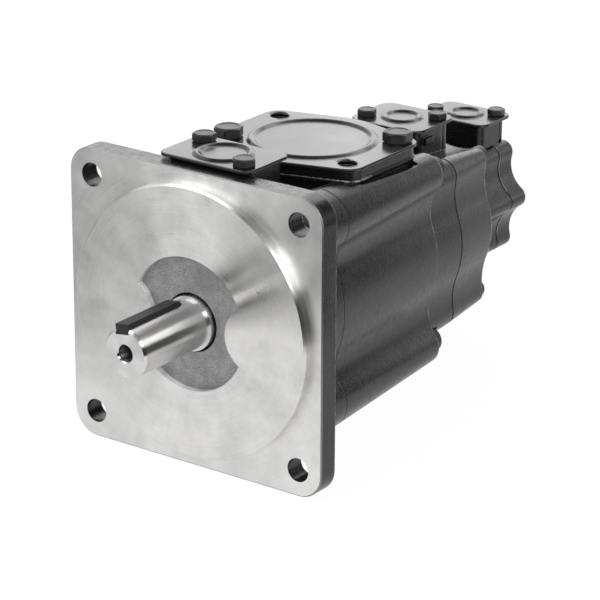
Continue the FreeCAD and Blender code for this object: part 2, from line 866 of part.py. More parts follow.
def make_seal():
    lip = seal_land_r + pocket_clear
    back = seal_front + seal_width
    return turned([
        (seal_r, seal_front), (seal_r, back), (seal_r - seal_wall, back),
        (seal_r - seal_wall, seal_front + seal_wall), (lip, seal_front + seal_wall), (lip, seal_front),
    ])


def make_bearing_outer():
    back = bearing_front + bearing_width
    inner = bearing_r - bearing_ring_wall
    lip = bearing_seat_r + bearing_ring_wall + bearing_lip_clear
    return turned([
        (bearing_r, bearing_front), (bearing_r, back), (lip, back), (lip, back - bearing_lip),
        (inner, back - bearing_lip), (inner, bearing_front + bearing_lip),
        (lip, bearing_front + bearing_lip), (lip, bearing_front),
    ])


def make_bearing_inner():
    outer = bearing_seat_r + bearing_ring_wall
    return ring(outer, bearing_seat_r, bearing_front, bearing_front + bearing_width)


def make_snap_ring():
    start = bearing_front + bearing_width
    shape = ring(snap_r, snap_r - snap_wall, start, start + snap_width)
    gap = Part.makeBox(
        snap_gap, snap_width, 2 * snap_wall, Vec(-snap_gap / 2, start, -snap_r - snap_wall / 2)
    )
    return shape.cut(gap)


def make_front_plate():
    radius = front_plate_r - plate_seat_clear
    hub = front_hub_r - plate_seat_clear
    bore = front_spline_tip + plate_bore_clear
    start = cap_back - front_plate_width
    profile = [
        (bore, front_hub_front), (hub, front_hub_front), (hub, start), (radius, start),
        (radius, cap_back), (bore, cap_back),
    ]
    return plate_with_hub(profile, start, cap_back, front_rotor_r)


def make_middle_plate():
    radius = middle_plate_r - plate_seat_clear
    hub = middle_hub_r - plate_seat_clear
    bore = rear_shaft_r + plate_bore_clear
    end = inlet_back + middle_plate_width
    profile = [
        (bore, inlet_back), (radius, inlet_back), (radius, end), (hub, end),
        (hub, middle_hub_back), (bore, middle_hub_back),
    ]
    return plate_with_hub(profile, inlet_back, end, middle_rotor_r)


def make_rear_plate():
    start = middle_back + rear_cam_length
    bore = journal_r + plate_bore_clear
    plate = ring(rear_cam_r, bore, start, start + rear_plate_width)
    inner = rear_rotor_r * rear_kidney_inner_share
    for slot in kidneys(inner, rear_rotor_r, start, start + rear_plate_width):
        plate = plate.cut(slot)
    return plate


def cartridge(name, start, length, radius, cam, major, minor, height, thick, root, tip):
    """One cartridge's rotor, cam ring and vanes."""
    inner_start = start + side_clear
    inner_end = start + length - side_clear
    pieces = {
        name + "_rotor": rotor(radius, inner_start, inner_end, height, thick, root, tip),
        name + "_cam_ring": cam_ring(cam, major, minor, start, start + length),
    }
    blades = [vane(radius, inner_start, inner_end, height, thick, angle) for angle in vane_angles()]
    return pieces, blades


def make_cartridges():
    nodes = {}
    pieces, blades = cartridge(
        "front", cap_back, front_cam_length, front_rotor_r, front_cam_r, front_cam_major,
        front_cam_minor, front_vane_height, front_vane_thick, front_spline_root, front_spline_tip,
    )
    nodes.update(pieces)
    for index, blade in enumerate(blades):
        nodes["front_vane_%02d" % (index + 1)] = blade
    middle_start = inlet_back - middle_cam_length
    pieces, blades = cartridge(
        "middle", middle_start, middle_cam_length, middle_rotor_r, middle_cam_r, middle_cam_major,
        middle_cam_minor, middle_vane_height, middle_vane_thick, middle_spline_root, middle_spline_tip,
    )
    nodes.update(pieces)
    for index, blade in enumerate(blades):
        nodes["middle_vane_%02d" % (index + 1)] = blade
    pieces, blades = cartridge(
        "rear", middle_back, rear_cam_length, rear_rotor_r, rear_cam_r, rear_cam_major,
        rear_cam_minor, rear_vane_height, rear_vane_thick, rear_spline_root, rear_spline_tip,
    )
    nodes.update(pieces)
    nodes["rear_vanes"] = Part.Compound(blades)
    front_back = cap_back + front_cam_length
    bore = middle_shaft_r + plate_bore_clear
    nodes["front_side_plate"] = side_plate(
        front_cam_r, bore, front_back, front_back + side_plate_width, front_rotor_r
    )
    nodes["middle_side_plate"] = side_plate(
        middle_cam_r, bore, middle_start - side_plate_width, middle_start, middle_rotor_r
    )
    nodes["front_pressure_plate"] = make_front_plate()
    nodes["middle_pressure_plate"] = make_middle_plate()
    nodes["rear_pressure_plate"] = make_rear_plate()
    return nodes


def make_covers():
    """The four closing plates and their bolts."""
    nodes = {}
    front_holes = diagonal(front_bolts_x, front_bolts_y, front_port_y, 1)
    plate = ring_cover(
        corner_circles(front_cover_x, front_cover_y, front_cover_corner, front_port_y),
        front_port_top, front_port_y, front_ring_r, front_ring_wall,
    )
    nodes["front_outlet_cover"] = drilled(
        plate, front_holes, front_bolt_r + cover_hole_clear, front_port_top
    )
    plate = ring_cover(
        inlet_outline(0.0), inlet_port_top, inlet_port_y, inlet_bead_r, inlet_bead_r - inlet_disc_r
    )
    inlet_holes = diagonal(inlet_bolts_x, inlet_bolts_y, inlet_port_y, -1)
    plate = drilled(plate, inlet_holes, inlet_bolt_r + cover_hole_clear, inlet_port_top)
    open_holes = diagonal(inlet_bolts_x, inlet_bolts_y, inlet_port_y, 1)
    nodes["inlet_cover"] = drilled(plate, open_holes, inlet_open_hole_r, inlet_port_top)
    plate = ring_cover(
        corner_circles(middle_cover_x, middle_cover_y, middle_cover_corner, middle_port_y),
        middle_port_top, middle_port_y, middle_ring_r, middle_ring_wall,
    )
    middle_holes = diagonal(middle_bolts_x, middle_bolts_y, middle_port_y, -1)
    nodes["middle_outlet_cover"] = drilled(
        plate, middle_holes, middle_bolt_r + cover_hole_clear, middle_port_top
    )
    plate = ring_cover(
        corner_circles(rear_cover_x, rear_cover_y, rear_cover_corner, rear_port_y),
        rear_port_top, rear_port_y, rear_ring_r, rear_ring_wall,
    )
    rear_holes = diagonal(rear_bolts_x, rear_bolts_y, rear_port_y, -1)
    nodes["rear_outlet_cover"] = drilled(
        plate, rear_holes, rear_bolt_r + cover_hole_clear, rear_port_top
    )
    kinds = [
        ("front_outlet", front_holes, front_port_top, front_bolt_r, front_bolt_across, front_bolt_head),
        ("inlet", inlet_holes, inlet_port_top, inlet_bolt_r, inlet_bolt_across, inlet_bolt_head),
        ("middle_outlet", middle_holes, middle_port_top, middle_bolt_r, middle_bolt_across,
         middle_bolt_head),
        ("rear_outlet", rear_holes, rear_port_top, rear_bolt_r, rear_bolt_across, rear_bolt_head),
    ]
    for name, centres, top, radius, flats, head in kinds:
        bolts = [
            hex_bolt(radius, flats, head, Vec(x, y, top + cover_thick), Vec(0, 0, 1), cover_bolt_length)
            for x, y in centres
        ]
        nodes[name + "_cover_bolts"] = Part.Compound(bolts)
    return nodes


def make_body_bolts():
    """The long screws that hold the castings together."""
    nodes = {}
    nodes["housing_bolts"] = Part.Compound([
        socket_screw(housing_bolt_r, housing_bolt_head_r, housing_bolt_head, housing_bolt_socket,
                     inlet_back, housing_bolt_front, x, z)
        for x, z in quarters(main_lobe_x, main_lobe_z)
    ])
    nodes["middle_housing_bolts"] = Part.Compound([
        socket_screw(middle_stud_r, middle_stud_head_r, middle_stud_head, middle_stud_socket,
                     middle_back, middle_stud_front, x, z)
        for x, z in quarters(middle_stud_x, middle_stud_z)
    ])
    seat = end_back - end_screw_sink - end_screw_head
    nodes["end_cap_screws"] = Part.Compound([
        socket_screw(end_screw_r, end_screw_head_r, end_screw_head, end_screw_socket,
                     seat, end_screw_front, x, z)
        for x, z in rear_lobes()
    ])
    return nodes


def make_pump():
    nodes = {
        "mounting_cap": make_mounting_cap(),
        "inlet_housing": make_inlet_housing(),
        "centre_ring": make_centre_ring(),
        "middle_housing": make_middle_housing(),
        "rear_housing": make_rear_housing(),
        "end_cap": make_end_cap(),
        "shaft": make_shaft(),
        "shaft_key": make_key(),
        "shaft_seal": make_seal(),
        "front_bearing_outer_ring": make_bearing_outer(),
        "front_bearing_inner_ring": make_bearing_inner(),
        "bearing_snap_ring": make_snap_ring(),
        "centre_bush": ring(
            centre_bush_r, rear_shaft_r + plate_seat_clear, centre_bush_front, ring_back
        ),
        "rear_bush": ring(
            rear_bush_r, journal_r + plate_seat_clear, rear_bush_front,
            rear_bush_front + rear_bush_length,
        ),
    }
    nodes.update(make_covers())
    nodes.update(make_body_bolts())
    nodes.update(make_cartridges())
    return nodes


os.makedirs("parts", exist_ok=True)
for node, shape in make_pump().items():
    shape.exportStep("parts/" + node + ".step")
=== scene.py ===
import bpy
import bmesh
import math
from collections import namedtuple
from mathutils import Euler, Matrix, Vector


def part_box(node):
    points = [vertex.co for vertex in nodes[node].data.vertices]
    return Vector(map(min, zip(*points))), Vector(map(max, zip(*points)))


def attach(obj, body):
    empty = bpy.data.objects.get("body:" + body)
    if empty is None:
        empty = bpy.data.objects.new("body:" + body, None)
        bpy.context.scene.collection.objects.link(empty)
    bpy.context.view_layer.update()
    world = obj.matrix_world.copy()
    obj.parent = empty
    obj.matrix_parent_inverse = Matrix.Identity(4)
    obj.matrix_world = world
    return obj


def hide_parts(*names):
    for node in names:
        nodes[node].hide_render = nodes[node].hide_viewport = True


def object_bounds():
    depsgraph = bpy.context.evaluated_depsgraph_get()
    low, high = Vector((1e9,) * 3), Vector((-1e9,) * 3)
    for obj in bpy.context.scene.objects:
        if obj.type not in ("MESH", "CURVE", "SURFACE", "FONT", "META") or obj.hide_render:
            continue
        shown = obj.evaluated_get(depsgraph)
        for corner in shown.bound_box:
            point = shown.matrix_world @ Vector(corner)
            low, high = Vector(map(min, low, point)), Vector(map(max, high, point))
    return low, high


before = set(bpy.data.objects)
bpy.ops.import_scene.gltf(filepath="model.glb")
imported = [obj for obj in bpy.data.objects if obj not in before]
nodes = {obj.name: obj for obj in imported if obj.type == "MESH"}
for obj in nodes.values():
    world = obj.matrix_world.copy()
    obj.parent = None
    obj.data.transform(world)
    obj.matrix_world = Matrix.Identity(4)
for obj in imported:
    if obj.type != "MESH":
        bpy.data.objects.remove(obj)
cad_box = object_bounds()

MM = 0.001
Corner = namedtuple("Corner", "x y z")


def box_mm(node):
    """A node's lowest and highest corners, in millimetres to the nearest thousandth."""
    return [Corner(*(round(c / MM, 3) for c in corner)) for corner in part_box(node)]


# Planes along Y where the castings start and end, in millimetres behind the flange's face
PILOT_FACE = box_mm("mounting_cap")[0].y
CAP_BACK = box_mm("mounting_cap")[1].y
INLET_BACK = box_mm("inlet_housing")[1].y
RING_BACK = box_mm("centre_ring")[1].y
MIDDLE_BACK = box_mm("middle_housing")[1].y
REAR_BACK = box_mm("rear_housing")[1].y
SHAFT_FRONT = box_mm("shaft")[0].y

# Limits that tell the mounting cap's faces apart, y along the shaft and r round it
FLANGE_EDGE_Y = 1.25
RECESS_START_Y = PILOT_FACE + 0.1
RECESS_END_Y = PILOT_FACE + 8.0
RECESS_LIMIT_R = 61.5
SEAL_BORE_LIMIT_R = 33.0
PILOT_LIMIT_R = 126.0


def link(obj):
    """Puts a new object into the scene."""
    bpy.context.scene.collection.objects.link(obj)
    return obj


# The camera, at the photograph's place and with a long lens
camera_data = bpy.data.cameras.new("camera")
camera_data.lens = 182.67
camera_data.sensor_width = 36.0
camera_data.clip_end = 50.0
camera = link(bpy.data.objects.new("camera", camera_data))
camera.location = (1.50796, -1.94028, 0.94877)
camera.rotation_euler = Euler([math.radians(a) for a in (69.2833, -0.2518, 35.8138)])
bpy.context.scene.camera = camera
bpy.context.scene.view_settings.view_transform = "Standard"


# Materials: helpers for their nodes, then one function for each kind of surface
def node_tree(name):
    """A new material with an empty node tree."""
    material = bpy.data.materials.new(name)
    material.use_nodes = True
    material.node_tree.nodes.clear()
    return material, material.node_tree


def add(tree, kind, **settings):
    """A node, with its settings, and its sockets by name where the name is quoted in inputs."""
    node = tree.nodes.new(kind)
    inputs = settings.pop("inputs", {})
    for key, value in settings.items():
        setattr(node, key, value)
    for key, value in inputs.items():
        if isinstance(value, bpy.types.NodeSocket):
            tree.links.new(value, node.inputs[key])
        else:
            node.inputs[key].default_value = value
    return node


def maths(tree, operation, a, b=None):
    """The result of a Math node, for sockets or numbers."""
    node = tree.nodes.new("ShaderNodeMath")
    node.operation = operation
    for index, value in enumerate((a, b)):
        if value is None:
            continue
        if isinstance(value, bpy.types.NodeSocket):
            tree.links.new(value, node.inputs[index])
        else:
            node.inputs[index].default_value = value
    return node.outputs[0]


def blend_colour(tree, factor, a, b):
    """Colour a where the factor is 0, and b where it is 1."""
    node = tree.nodes.new("ShaderNodeMix")
    node.data_type = "RGBA"
    tree.links.new(factor, node.inputs["Factor"])
    # The Mix node's colours are its inputs 6 and 7, and its output 2
    for index, value in ((6, a), (7, b)):
        if isinstance(value, bpy.types.NodeSocket):
            tree.links.new(value, node.inputs[index])
        else:
            node.inputs[index].default_value = (*value, 1.0)
    return node.outputs[2]


def blend_value(tree, factor, a, b):
    """Value a where the factor is 0, and b where it is 1."""
    node = tree.nodes.new("ShaderNodeMix")
    node.data_type = "FLOAT"
    tree.links.new(factor, node.inputs[0])
    # The Mix node's numbers are its inputs 2 and 3
    for index, value in ((2, a), (3, b)):
        if isinstance(value, bpy.types.NodeSocket):
            tree.links.new(value, node.inputs[index])
        else:
            node.inputs[index].default_value = value
    return node.outputs[0]


def place(tree):
    """Where a point is on the piece at rest, in millimetres."""
    coordinates = add(tree, "ShaderNodeTexCoord")
    scaled = add(tree, "ShaderNodeVectorMath", operation="SCALE",
                 inputs={0: coordinates.outputs["Object"], "Scale": 1 / MM})
    return scaled.outputs["Vector"]


def noise(tree, vector, scale, detail, roughness):
    """Noise from 0 to 1, scale in waves per unit of the vector."""
    node = add(tree, "ShaderNodeTexNoise",
               inputs={"Vector": vector, "Scale": scale, "Detail": detail, "Roughness": roughness})
    return node.outputs["Fac"]


def spread(tree, value, low, high, to_low, to_high):
    """Maps a value from one range to another, held inside it."""
    node = add(tree, "ShaderNodeMapRange", clamp=True, inputs={
        "Value": value, "From Min": low, "From Max": high, "To Min": to_low, "To Max": to_high,
    })
    return node.outputs["Result"]


def rounded(tree, radius):
    """The normal with the edges rounded off, radius in millimetres."""
    return add(tree, "ShaderNodeBevel", samples=8, inputs={"Radius": radius * MM}).outputs["Normal"]


def bumped(tree, height, depth, normal, strength):
    """A bump, depth in millimetres for a height of one."""
    node = add(tree, "ShaderNodeBump", inputs={
        "Height": height, "Distance": depth * MM, "Strength": strength, "Normal": normal,
    })
    return node.outputs["Normal"]


def finish_material(tree, **sockets):
    """The shader and the output, with the shader's sockets by name, an underscore for a space."""
    shader = add(tree, "ShaderNodeBsdfPrincipled")
    for key, value in sockets.items():
        socket = shader.inputs[key.replace("_", " ")]
        if isinstance(value, bpy.types.NodeSocket):
            tree.links.new(value, socket)
        elif isinstance(value, tuple):
            socket.default_value = (*value, 1.0)
        else:
            socket.default_value = value
    output = add(tree, "ShaderNodeOutputMaterial")
    tree.links.new(shader.outputs["BSDF"], output.inputs["Surface"])


def plane_lines(tree, where, planes, width, below):
    """A mask of lines where the surface crosses planes along Y, up to a height, in millimetres.

    Faces that lie in such a plane are left out. A line is full over core of its half width.
    """
    core, facing_limit = 0.4, 0.8
    parts = add(tree, "ShaderNodeSeparateXYZ", inputs={0: where})
    along = parts.outputs["Y"]
    lines = None
    for plane in planes:
        distance = maths(tree, "ABSOLUTE", maths(tree, "SUBTRACT", along, plane))
        line = spread(tree, distance, width, core * width, 0.0, 1.0)
        lines = line if lines is None else maths(tree, "MAXIMUM", lines, line)
    facing = add(tree, "ShaderNodeNewGeometry").outputs["True Normal"]
    facing_y = add(tree, "ShaderNodeSeparateXYZ", inputs={0: facing}).outputs["Y"]
    crossing = maths(tree, "LESS_THAN", maths(tree, "ABSOLUTE", facing_y), facing_limit)
    lines = maths(tree, "MULTIPLY", lines, crossing)
    return maths(tree, "MULTIPLY", lines, maths(tree, "LESS_THAN", parts.outputs["Z"], below))


EVERYWHERE = 500.0


def cast_paint(name, wear_and_glint_planes=(), seams=(), width=0.8, gap_width=1.0, below=EVERYWHERE):
    """Black satin paint on an as-cast surface, with pale bands of wear and painted edge highlight and dark
    seams at planes along Y.

    Width and gap_width are half the widths of a pale band and of a seam, and below is the height
    up to which they show, in millimetres.
    """
    colour, rough, round_off = 0.006, 0.25, 2.0
    material, tree = node_tree(name)
    where = place(tree)
    grain = noise(tree, where, 0.5, 3.0, 0.6)
    peel = noise(tree, where, 0.16, 2.0, 0.5)
    swell = noise(tree, where, 0.018, 2.0, 0.5)
    base = blend_colour(tree, swell, (colour * 0.8,) * 3, (colour * 1.5,) * 3)
    roughness = spread(tree, peel, 0.3, 0.7, rough - 0.05, rough + 0.08)
    normal = rounded(tree, round_off)
    normal = bumped(tree, swell, 1.2, normal, 0.35)
    normal = bumped(tree, peel, 0.06, normal, 0.5)
    normal = bumped(tree, grain, 0.25, normal, 0.8)
    metallic = 0.0
    if seams:
        gap = plane_lines(tree, where, seams, gap_width, below)
        base = blend_colour(tree, gap, base, (0.002, 0.002, 0.002))
        roughness = blend_value(tree, gap, roughness, 0.95)
    # Pale speckled bands along the planes: worn paint that also stands in for painted edge highlights
    if wear_and_glint_planes:
        broken = spread(tree, noise(tree, where, 0.09, 4.0, 0.7), 0.42, 0.56, 0.0, 1.0)
        wear_and_glint = maths(tree, "MULTIPLY", plane_lines(tree, where, wear_and_glint_planes, width, below), broken)
        base = blend_colour(tree, wear_and_glint, base, (0.42, 0.42, 0.43))
        metallic = maths(tree, "MULTIPLY", wear_and_glint, 0.8)
    finish_material(tree, Base_Color=base, Metallic=metallic, Roughness=roughness, Normal=normal)
    return material


def plate_paint(name, colour, rough, index):
    """Semi-gloss black paint on a pressed plate or a screw, with its index of refraction."""
    material, tree = node_tree(name)
    where = place(tree)
    peel = noise(tree, where, 0.35, 2.0, 0.5)
    swell = noise(tree, where, 0.03, 2.0, 0.5)
    base = blend_colour(tree, swell, (colour * 0.8,) * 3, (colour * 1.4,) * 3)
    roughness = spread(tree, swell, 0.3, 0.7, rough - 0.02, rough + 0.03)
    normal = rounded(tree, 0.5)
    normal = bumped(tree, peel, 0.03, normal, 0.4)
    finish_material(tree, Base_Color=base, Roughness=roughness, Normal=normal, IOR=index)
    return material


RING_SHARE = 0.35


def turned_metal(name, colour, rough, marks, anisotropic, edge=0.4, painted_fans=0.0):
    """Steel or iron turned about the shaft axis, edge in millimetres.

    Marks is how deep the tool's rings are, and painted_fans how strongly painted light and dark fans show.
    """
    material, tree = node_tree(name)
    where = place(tree)
    parts = add(tree, "ShaderNodeSeparateXYZ", inputs={0: where})
    x, y, z = (parts.outputs[axis] for axis in "XYZ")
    square = maths(tree, "ADD", maths(tree, "MULTIPLY", x, x), maths(tree, "MULTIPLY", z, z))
    radius = maths(tree, "SQRT", square)
    turn = maths(tree, "ARCTAN2", z, x)
    polar = add(tree, "ShaderNodeCombineXYZ", inputs={
        0: radius, 1: maths(tree, "MULTIPLY", turn, 0.9), 2: y,
    }).outputs[0]
    rings = noise(tree, polar, 1.6, 3.0, 0.7)
    smear = noise(tree, where, 0.03, 4.0, 0.6)
    tint = maths(tree, "ADD", maths(tree, "MULTIPLY", rings, RING_SHARE),
                 maths(tree, "MULTIPLY", smear, 1.0 - RING_SHARE))
    base = blend_colour(tree, spread(tree, tint, 0.35, 0.65, 0.0, 1.0),
                        tuple(0.82 * c for c in colour), tuple(1.12 * c for c in colour))
    # Light and dark fans round the axis painted into the colour: painted reflections of the turning
    if painted_fans:
        fan = add(tree, "ShaderNodeCombineXYZ", inputs={
            0: maths(tree, "COSINE", turn), 1: maths(tree, "SINE", turn),
            2: maths(tree, "MULTIPLY", radius, 0.004),
        }).outputs[0]
        shade = spread(tree, noise(tree, fan, 2.6, 3.0, 0.6), 0.3, 0.7, 1.0 - painted_fans, 1.0 + painted_fans)
        base = add(tree, "ShaderNodeVectorMath", operation="SCALE",
                   inputs={0: base, "Scale": shade}).outputs[0]
    roughness = spread(tree, tint, 0.3, 0.7, rough - 0.06, rough + 0.08)
    normal = rounded(tree, edge)
    normal = bumped(tree, rings, 0.02, normal, marks)
    tangent = add(tree, "ShaderNodeTangent", direction_type="RADIAL", axis="Y")
    finish_material(tree, Base_Color=base, Metallic=1.0, Roughness=roughness, Normal=normal,
                    Anisotropic=anisotropic, Anisotropic_Rotation=0.25, Tangent=tangent.outputs[0])
    return material


def bare_cast(name, colour, edge=1.5, metallic=0.75, pits=0.6):
    """Bare grey iron as it came from the sand, edge in millimetres, pits from 0 to 1."""
    material, tree = node_tree(name)
    where = place(tree)
    grain = noise(tree, where, 1.1, 4.0, 0.7)
    patch = spread(tree, noise(tree, where, 0.09, 4.0, 0.65), 0.3, 0.7, 0.0, 1.0)
    speckle = spread(tree, noise(tree, where, 0.7, 3.0, 0.7), 0.35, 0.65, 0.0, 1.0)
    base = blend_colour(tree, patch, (colour * 0.75,) * 3, (colour * 1.15,) * 3)
    base = blend_colour(tree, maths(tree, "MULTIPLY", speckle, pits), base, (colour * 0.35,) * 3)
    roughness = spread(tree, grain, 0.3, 0.7, 0.42, 0.6)
    normal = bumped(tree, grain, 0.35, rounded(tree, edge), 0.8)
    finish_material(tree, Base_Color=base, Metallic=metallic, Roughness=roughness, Normal=normal)
    return material


def plain_metal(name, colour, rough, metallic=1.0, edge=0.3):
    """A machined metal with faint variation in colour and gloss, edge in millimetres."""
    material, tree = node_tree(name)
    where = place(tree)
    grain = noise(tree, where, 0.5, 3.0, 0.6)
    base = blend_colour(tree, grain, tuple(0.8 * c for c in colour), tuple(1.15 * c for c in colour))
    roughness = spread(tree, grain, 0.3, 0.7, rough - 0.05, rough + 0.08)
    normal = bumped(tree, grain, 0.02, rounded(tree, edge), 0.5)
    finish_material(tree, Base_Color=base, Metallic=metallic, Roughness=roughness, Normal=normal)
    return material


def paint(obj, material):
    """Gives a piece one material."""
    obj.data.materials.clear()
    obj.data.materials.append(material)
    return obj


# The castings' paint, with pale bands of wear and painted edge highlight along the flange's back,
# two housings' backs and the end cap's front. The end cap's band stops under its boss, and the inlet slab's
# bead has a pale speckled band round SLAB_GLINT_Y, a painted glint on its rounded edge.
FLANGE_BACK = 20.0
END_CAP_EDGE = REAR_BACK + 1.9
END_BOSS_FOOT = 53.0
SLAB_GLINT_Y, SLAB_GLINT_REACH = 130.0, 24.0
cast_front = cast_paint("paint_inlet_housing", wear_and_glint_planes=(INLET_BACK,), seams=(CAP_BACK,), gap_width=0.5)
cast_ring = cast_paint("paint_centre_ring", seams=(RING_BACK,), gap_width=1.5)
cast_middle = cast_paint("paint_middle_housing", wear_and_glint_planes=(MIDDLE_BACK,), seams=(RING_BACK,),
                         width=1.3, gap_width=1.5)
cast_rear = cast_paint("paint_rear_housing", wear_and_glint_planes=(END_CAP_EDGE,), seams=(REAR_BACK,),
                       width=0.4, gap_width=1.4, below=END_BOSS_FOOT)
cast_cap = cast_paint("paint_mounting_cap", wear_and_glint_planes=(FLANGE_BACK,), seams=(CAP_BACK,),
                      width=0.6, gap_width=0.6)
bead_paint = cast_paint("paint_bead", wear_and_glint_planes=(SLAB_GLINT_Y,), width=SLAB_GLINT_REACH)
cover_paint = plate_paint("paint_covers", colour=0.014, rough=0.2, index=1.6)
bolt_paint = plate_paint("paint_bolts", colour=0.006, rough=0.4, index=1.6)

# Bare metals that show
# The turned face has light and dark fans painted into its colour, painted reflections
face_metal = turned_metal("turned_face", (0.78, 0.775, 0.765), rough=0.3, marks=0.4,
                          anisotropic=0.93, edge=0.3, painted_fans=0.1)
shaft_metal = turned_metal("ground_shaft", (0.72, 0.715, 0.71), rough=0.2, marks=0.15, anisotropic=1.0)
recess_metal = bare_cast("bare_casting", colour=0.47)
# The recess's wall is painted much paler than its floor, a painted highlight along the rim
rim_painted_highlight = bare_cast("recess_rim", colour=0.85, edge=2.6, metallic=0.1, pits=0.25)
# The flange's chamfer gets a darker steel than the face, painted shade that dims its highlight
edge_painted_shade = plain_metal("flange_edge", (0.26, 0.26, 0.255), rough=0.45)
key_metal = plain_metal("key_steel", (0.03, 0.03, 0.031), rough=0.34, metallic=0.5, edge=0.4)
thread_metal = plain_metal("thread_steel", (0.2, 0.2, 0.2), rough=0.3)

# What is inside
seal_rubber = plain_metal("seal_rubber", (0.02, 0.02, 0.02), rough=0.6, metallic=0.0)
bearing_steel = turned_metal("bearing_steel", (0.64, 0.64, 0.65), rough=0.15, marks=0.1, anisotropic=0.3)
bronze = turned_metal("bush_bronze", (0.62, 0.43, 0.2), rough=0.3, marks=0.2, anisotropic=0.3)
plate_iron = plain_metal("plate_iron", (0.33, 0.33, 0.34), rough=0.35)
cam_steel = plain_metal("cam_steel", (0.5, 0.5, 0.51), rough=0.22)
rotor_steel = plain_metal("rotor_steel", (0.48, 0.48, 0.49), rough=0.28)
vane_steel = plain_metal("vane_steel", (0.6, 0.6, 0.61), rough=0.2)

# The finish of each CAD node
NODE_FINISH = {
    "inlet_housing": cast_front, "centre_ring": cast_ring, "middle_housing": cast_middle,
    "rear_housing": cast_rear, "end_cap": cast_rear, "shaft": shaft_metal, "shaft_key": key_metal,
    "shaft_seal": seal_rubber, "centre_bush": bronze, "rear_bush": bronze,
    "bearing_snap_ring": bearing_steel, "mounting_cap": cast_cap,
}
for name, obj in nodes.items():
    if name in NODE_FINISH:
        paint(obj, NODE_FINISH[name])
    elif name.endswith("_cover"):
        paint(obj, cover_paint)
    elif name.endswith(("_bolts", "_screws")):
        paint(obj, bolt_paint)
    elif name.startswith("front_bearing"):
        paint(obj, bearing_steel)
    elif name.endswith("_plate"):
        paint(obj, plate_iron)
    elif name.endswith("_cam_ring"):
        paint(obj, cam_steel)
    elif name.endswith("_rotor"):
        paint(obj, rotor_steel)
    else:
        paint(obj, vane_steel)


# The mounting cap in three pieces: painted casting, machined face and bare recess
def part_of(name, source, keep, material, body):
    """A piece with those faces of a CAD node for which keep says true."""
    mesh = source.data.copy()
    mesh.name = name
    work = bmesh.new()
    work.from_mesh(mesh)
    drop = [face for face in work.faces if not keep(face)]
    bmesh.ops.delete(work, geom=drop, context="FACES")
    work.to_mesh(mesh)
    work.free()
    piece = link(bpy.data.objects.new(name, mesh))
    paint(piece, material)
    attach(piece, body)
    return piece


def face_kind(face):
    """Which finish a face of the mounting cap has: machined, recess or painted."""
    centre = face.calc_center_median() / MM
    radius = math.hypot(centre.x, centre.z)
    low = min(v.co.y for v in face.verts) / MM
    high = max(v.co.y for v in face.verts) / MM
    if high > FLANGE_EDGE_Y:
        return "painted"
    if radius < RECESS_LIMIT_R and low < RECESS_END_Y and high > RECESS_START_Y and not is_rim(face):
        return "recess"
    return "machined"


def is_rim(face):
    """Whether a face is part of the recess's upright wall."""
    centre = face.calc_center_median() / MM
    inside = math.hypot(centre.x, centre.z) < RECESS_LIMIT_R
    return inside and abs(face.normal.y) < 0.5 and PILOT_FACE < centre.y < FLANGE_EDGE_Y


def is_recess_wall(face):
    """Whether a face is part of the recess's upright wall outside the seal's bore."""
    return is_rim(face) and math.hypot(*face.calc_center_median().xz) > SEAL_BORE_LIMIT_R * MM


def is_flange_edge(face):
    """Whether a face is part of the chamfer round the flange."""
    far = math.hypot(*face.calc_center_median().xz) > PILOT_LIMIT_R * MM
    return far and 0.2 < abs(face.normal.y) < 0.95


def finish_faces(piece, chosen, material):
    """Gives the faces for which chosen says true their own material."""
    piece.data.materials.append(material)
    work = bmesh.new()
    work.from_mesh(piece.data)
    for face in work.faces:
        if chosen(face):
            face.material_index = len(piece.data.materials) - 1
    work.to_mesh(piece.data)
    work.free()


cap = nodes["mounting_cap"]
for piece_name, kind, material in (
    ("mounting_cap_casting", "painted", cast_cap), ("mounting_cap_face", "machined", face_metal),
    ("mounting_cap_recess", "recess", recess_metal),
):
    piece = part_of(piece_name, cap, lambda face, kind=kind: face_kind(face) == kind, material,
                    "pump_body")
    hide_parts("mounting_cap")
    if kind == "machined":
        # Paler painted-highlight iron on the recess's wall, darker painted-shade steel on the flange's
        # chamfer
        finish_faces(piece, is_recess_wall, rim_painted_highlight)
        finish_faces(piece, is_flange_edge, edge_painted_shade)


# Mesh building
def mesh_object(name, verts, faces, material):
    """An object from its points in metres and its faces."""
    mesh = bpy.data.meshes.new(name)
    mesh.from_pydata(verts, [], faces)
    mesh.update()
    for polygon in mesh.polygons:
        polygon.use_smooth = True
    obj = link(bpy.data.objects.new(name, mesh))
    return paint(obj, material)


def loops_to_mesh(name, loops, material, closed=True, sharp=25.0):
    """A skin over loops of the same number of points, each given as (x, y, z) in millimetres.

    Closed gives it a start and an end, and edges that turn by more than sharp degrees stay sharp.
    """
    count = len(loops[0])
    verts = [tuple(c * MM for c in point) for loop in loops for point in loop]
    faces = []
    for row in range(len(loops) - 1):
        low, high = row * count, (row + 1) * count
        for index in range(count):
            after = (index + 1) % count
            faces.append((low + index, low + after, high + after, high + index))
    if closed:
        top = (len(loops) - 1) * count
        faces.append(tuple(range(count - 1, -1, -1)))
        faces.append(tuple(range(top, top + count)))
    obj = mesh_object(name, verts, faces, material)
    obj.data.set_sharp_from_angle(angle=math.radians(sharp))
    return obj


def joined(name, objects):
    """One piece from several."""
    bpy.ops.object.select_all(action="DESELECT")
    for obj in objects:
        obj.select_set(True)
    bpy.context.view_layer.objects.active = objects[0]
    bpy.ops.object.join()
    objects[0].name = name
    objects[0].data.name = name
    return objects[0]


def even_shading(obj):
    """Keeps flat faces flat under smooth shading."""
    modifier = obj.modifiers.new("weighted", "WEIGHTED_NORMAL")
    modifier.keep_sharp = True


